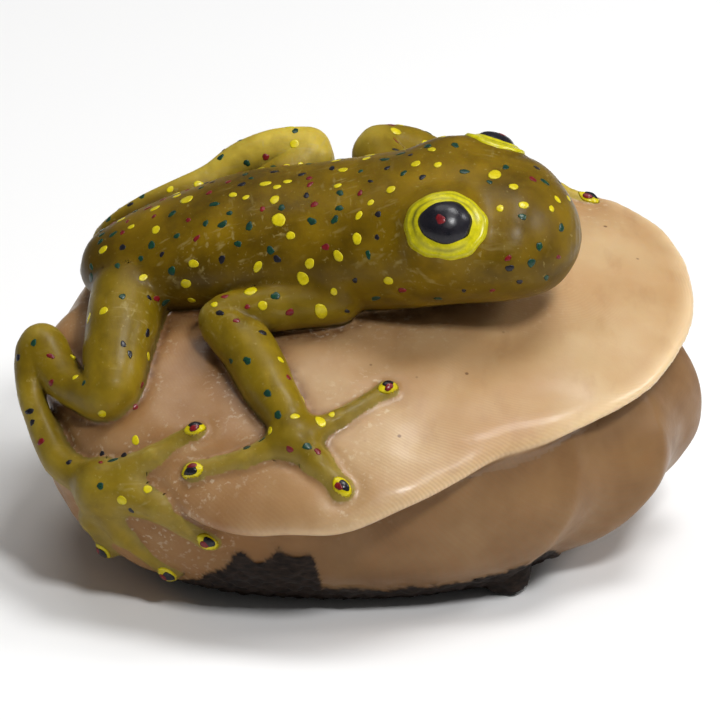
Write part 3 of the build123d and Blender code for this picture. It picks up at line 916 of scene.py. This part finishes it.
def eye_ring(side, surface):
    """The brushed yellow ring round a pupil, a closed film with a raised outer bead."""
    centre, looks, across, up = eye_frame(side)
    outer, pupil = EYES[side][2], EYES[side][3]
    phases = np.random.RandomState(5 if side == "right" else 6).uniform(0, 2 * pi, 7)
    film = Film(surface)
    for i in range(RING_SEGMENTS):
        t = 2 * pi * i / RING_SEGMENTS
        wave = sum(size * sin(n * t + p) for size, n, p in zip((0.030, 0.022, 0.012), (2, 5, 11), phases))
        drift = 0.5 * sin(t + phases[3]) + 0.3 * sin(3 * t + phases[4])
        worn = 0.5 + 0.5 * sin(2 * t + phases[5]) * sin(t + phases[6])
        row = []
        for step in range(RING_STEPS + 1):
            share = step / RING_STEPS
            reach = [(0.84 * pupil[k] * (1 - share) + outer[k] * share) * (1 + wave * share) for k in (0, 1)]
            place = centre + across * cos(t) * reach[0] + up * sin(t) * reach[1] + looks * EYEBALL_RADIUS
            found = film.hit(place, -looks, 8.0) or place - looks
            bead = BEAD_HEIGHT * exp(-((share - BEAD_PLACE) / BEAD_WIDTH) ** 2)
            height = RING_HEIGHT + bead + 0.03 * sin(9 * share + 3 * drift)
            row.append(found + looks * (height if 0 < step < RING_STEPS else 0.0))
            brush = sin(17 * share + 2.2 * drift) * worn * (1 - abs(2 * share - 1.15))
            film.strokes.append(max(0.0, min(1.0, 1.3 * brush)))
        row += [row[-1] - looks * 0.3, row[0] - looks * 0.3]
        film.points += row
        film.strokes += [0.0, 0.0]
    n = RING_STEPS + 3
    for i in range(RING_SEGMENTS):
        j = (i + 1) % RING_SEGMENTS
        for k in range(n):
            m = (k + 1) % n
            film.faces.append((i * n + k, j * n + k, j * n + m, i * n + m))
    film.build(f"{side}_eye", RIM_YELLOW, "yellow_paint", [f"{side}_eye"])


def eye_pupil(side):
    """The domed black pupil with a red glint painted on it, a closed lens with a slightly uneven edge."""
    centre, looks, across, up = eye_frame(side)
    reach = EYES[side][3]
    film = Film(None)
    apex = centre + looks * EYEBALL_RADIUS
    film.points.append(apex + looks * (PUPIL_RISE + PUPIL_EDGE))
    for k in range(1, PUPIL_RINGS + 1):
        share = k / PUPIL_RINGS
        for i in range(PUPIL_SEGMENTS):
            t = 2 * pi * i / PUPIL_SEGMENTS
            uneven = 1 + 0.022 * sin(3 * t + 1) + 0.016 * sin(7 * t)
            a, b = reach[0] * cos(t) * share * uneven, reach[1] * sin(t) * share * uneven
            level = (EYEBALL_RADIUS ** 2 - a * a - b * b) ** 0.5
            rise = PUPIL_RISE * (1 - share ** 4) + PUPIL_EDGE
            film.points.append(centre + across * a + up * b + looks * (level + rise))
    film.points.append(apex - looks * PUPIL_ROOT)
    edge = 1 + (PUPIL_RINGS - 1) * PUPIL_SEGMENTS
    for i in range(PUPIL_SEGMENTS):
        j = (i + 1) % PUPIL_SEGMENTS
        film.faces.append((0, 1 + i, 1 + j))
        for low in range(1, edge, PUPIL_SEGMENTS):
            high = low + PUPIL_SEGMENTS
            film.faces.append((low + j, low + i, high + i, high + j))
        film.faces.append((edge + j, edge + i, edge + PUPIL_SEGMENTS))
    film.strokes = [0.0] * len(film.points)
    film.build(f"{side}_pupil", BLACK, "black_paint", [f"{side}_pupil"])
    glint = Film(BVHTree.FromPolygons([tuple(p) for p in film.points], film.faces))
    glint.dab(apex + across * 0.38 + up * 0.05, looks, 0.42, seed=3, height=0.03)
    glint.build(f"{side}_pupil_glint", RED, "red_paint")


def toe_marks(surface, nut):
    """Each toe tip's yellow oval with a black and a red stroke in it."""
    for leg, toes in TOES.items():
        tips = TOE_TIP_NODES[leg]
        for kind, ending, ahead, aside, radius, stretch, wobble, seed, height, lift in TOE_MARKS:
            film = Film(surface)
            for i, (middle, tip) in enumerate(toes):
                end = Vector(tip[:3])
                off_nut = Vector(slope_at(nut, np.array([tip[:3]]))[0]).normalized()
                out = (off_nut + Vector((0, -0.2, 0.5))).normalized()
                place = surface.ray_cast(end + out * 3.0, -out)[0]
                along = (end - Vector(middle[:3])).normalized()
                flat = (along - out * along.dot(out)).normalized()
                first, second = flat_ways(out)
                turn = float(np.arctan2(flat.dot(second), flat.dot(first)))
                place = place + flat * ahead + out.cross(flat) * aside
                film.dab(place, out, radius, stretch, turn, wobble, seed + i, height, lift, forced=True)
            film.build(tips + ending, kind, kind[0], [] if ending else [tips])


def spots(surface):
    """Rows of dabs over the torso and the legs, in four colours."""
    random = np.random.RandomState(17)
    films = {kind[0]: Film(surface) for _, kind, _, _ in SPOT_KINDS}
    taken = []

    def put(kind, origin, inward, radius, limit):
        place, normal, *_ = surface.ray_cast(origin, inward, limit)
        if place is None or any((place - p).length < r + radius + SPOT_GAP for p, r in taken):
            return
        if any((place - Vector(eye[0])).length < EYE_CLEAR for eye in EYES.values()):
            return
        stretch, turn = random.uniform(1.0, 1.25), random.uniform(0, pi)
        wobble, seed = 0.05 if kind is YELLOW else 0.13, random.randint(10000)
        if films[kind[0]].dab(place, normal, radius, stretch, turn, wobble, seed, SPOT_HEIGHT, sides=14):
            taken.append((place, radius))

    def pick():
        share = random.uniform()
        kind, low, high = next(row[1:] for row in SPOT_KINDS if share < row[0])
        radius = random.uniform(low, high)
        if kind is YELLOW and random.uniform() < 0.16:
            radius *= 1.4
        return kind, radius

    table = np.linspace(ALONG[0], ALONG[-1], 200)
    for row in range(-100, 101, 14):
        s = ALONG[0] + 1.2 + random.uniform(0, 2)
        while s < ALONG[-1] - 0.6:
            centre = [float(np.interp(s, table, curve(table, ALONG, centres[:, i]))) for i in range(3)]
            angle = radians(row + random.uniform(-7, 7))
            way = UP * cos(angle) + SIDE * sin(angle)
            kind, radius = pick()
            put(kind, Vector(centre) + way * 11.0, -way, radius, 8.5)
            s += random.uniform(1.7, 3.1)
    for leg, stations in LEGS.items():
        toes = [(stations[-1], toe[0]) for toe in TOES[leg]]
        for start, end in [*zip(stations, stations[1:]), *toes]:
            a, b = Vector(start[:3]), Vector(end[:3])
            along = (b - a).normalized()
            first = along.cross(Vector((0, 0, 1))).normalized()
            second = first.cross(along)
            s = random.uniform(0.3, 1.2)
            while s < (b - a).length:
                angle = random.uniform(-1.5, 1.5)
                way = second * cos(angle) + first * sin(angle)
                kind, radius = pick()
                put(kind, a + along * s + way * 6.0, -way, radius, 6.0)
                s += random.uniform(0.6, 1.3)
    for _, kind, _, _ in SPOT_KINDS:
        films[kind[0]].build(kind[0].replace("paint", "spots"), kind, kind[0])


# ------------ floor, light and camera
FLOOR_HALF = 2.0
LAMPS = [  # name, place, width and power
    ("key", (0.16, 0.02, 0.50), 0.20, 1.3),
    ("side", (0.38, 0.03, 0.29), 0.12, 0.6),
    ("front", (0.15, -0.30, 0.42), 0.09, 1.4),
    ("top", (-0.06, 0.16, 0.52), 0.36, 0.6),
]
LAMP_TARGET = Vector((0, 0, 0.02))
CAMERA_TARGET = Vector((0, 0, 16.13 * MM))
CAMERA_DISTANCE = 1.2
CAMERA_ELEVATION = radians(25)
SEEN_WIDTH = 61.2 * MM  # how much the picture takes in at the target
SENSOR_WIDTH = 36.0


def turned_to(place, target):
    return (target - Vector(place)).to_track_quat("-Z", "Y").to_euler()


def stage():
    """A plain pale floor and four soft lamps in a dim, even room."""
    f = FLOOR_HALF
    mesh = bpy.data.meshes.new("floor")
    mesh.from_pydata([(-f, -f, 0), (f, -f, 0), (f, f, 0), (-f, f, 0)], [], [(0, 1, 2, 3)])
    floor = bpy.data.objects.new("floor", mesh)
    bpy.context.scene.collection.objects.link(floor)
    mesh.materials.append(shader("pale_floor", Base_Color=(0.86, 0.86, 0.86, 1), Roughness=0.9)[0])
    for name, place, width, power in LAMPS:
        light = bpy.data.lights.new(name, "AREA")
        light.shape = "DISK"
        light.size = width
        light.energy = power
        lamp = bpy.data.objects.new(name, light)
        lamp.location = place
        lamp.rotation_euler = turned_to(place, LAMP_TARGET)
        bpy.context.scene.collection.objects.link(lamp)
    world = bpy.data.worlds.new("studio")
    bpy.context.scene.world = world
    world.use_nodes = True
    background = world.node_tree.nodes["Background"]
    background.inputs["Color"].default_value = (1.0, 0.99, 0.97, 1)
    background.inputs["Strength"].default_value = 0.13


def camera():
    """A long lens, 25 degrees above the horizon, with the frog facing right."""
    lens = bpy.data.cameras.new("camera")
    lens.sensor_width = SENSOR_WIDTH
    lens.lens = SENSOR_WIDTH * CAMERA_DISTANCE / SEEN_WIDTH
    lens.clip_end = 10
    view = bpy.data.objects.new("camera", lens)
    back = Vector((0, -cos(CAMERA_ELEVATION), sin(CAMERA_ELEVATION)))
    view.location = CAMERA_TARGET + back * CAMERA_DISTANCE
    view.rotation_euler = turned_to(view.location, CAMERA_TARGET)
    bpy.context.scene.collection.objects.link(view)
    bpy.context.scene.camera = view


bpy.context.scene.view_settings.view_transform = "Standard"
carved_points, carved_quads, nut_distance = carve()
skin = BVHTree.FromPolygons(carved_points.tolist(), carved_quads.tolist())
for eye in EYES:
    eye_ring(eye, skin)
    eye_pupil(eye)
toe_marks(skin, nut_distance)
spots(skin)
stage()
camera()
